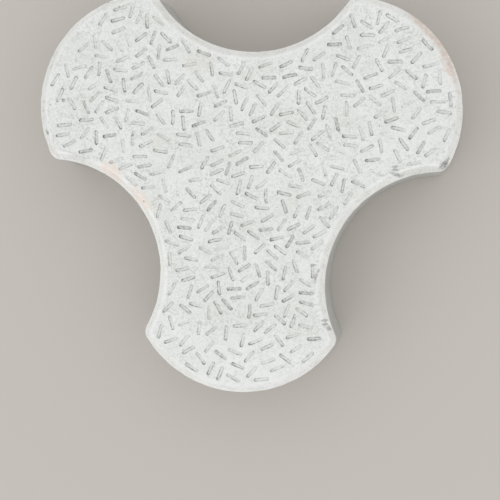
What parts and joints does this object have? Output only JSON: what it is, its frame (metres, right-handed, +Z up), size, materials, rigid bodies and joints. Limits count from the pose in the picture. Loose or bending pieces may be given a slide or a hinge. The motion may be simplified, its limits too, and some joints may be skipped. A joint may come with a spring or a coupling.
{
  "type": "interlocking concrete paving stone",
  "caption": "Flat cast paving stone with rounded lobes and matching hollows that interlock, a chamfered rim and a top of short pressed-in marks.",
  "frame": {"origin": "centre of the outline's hexagon, on the underside", "axes": "+Z up out of the top face, +Y through the middle of a hollow, -Y through the middle of a lobe"},
  "size_m": [0.2714, 0.2544, 0.06],
  "materials": {
    "concrete": "matt pale grey cast concrete"
  },
  "bodies": {
    "root": {"paving_stone": "concrete"}
  },
  "joints": []
}
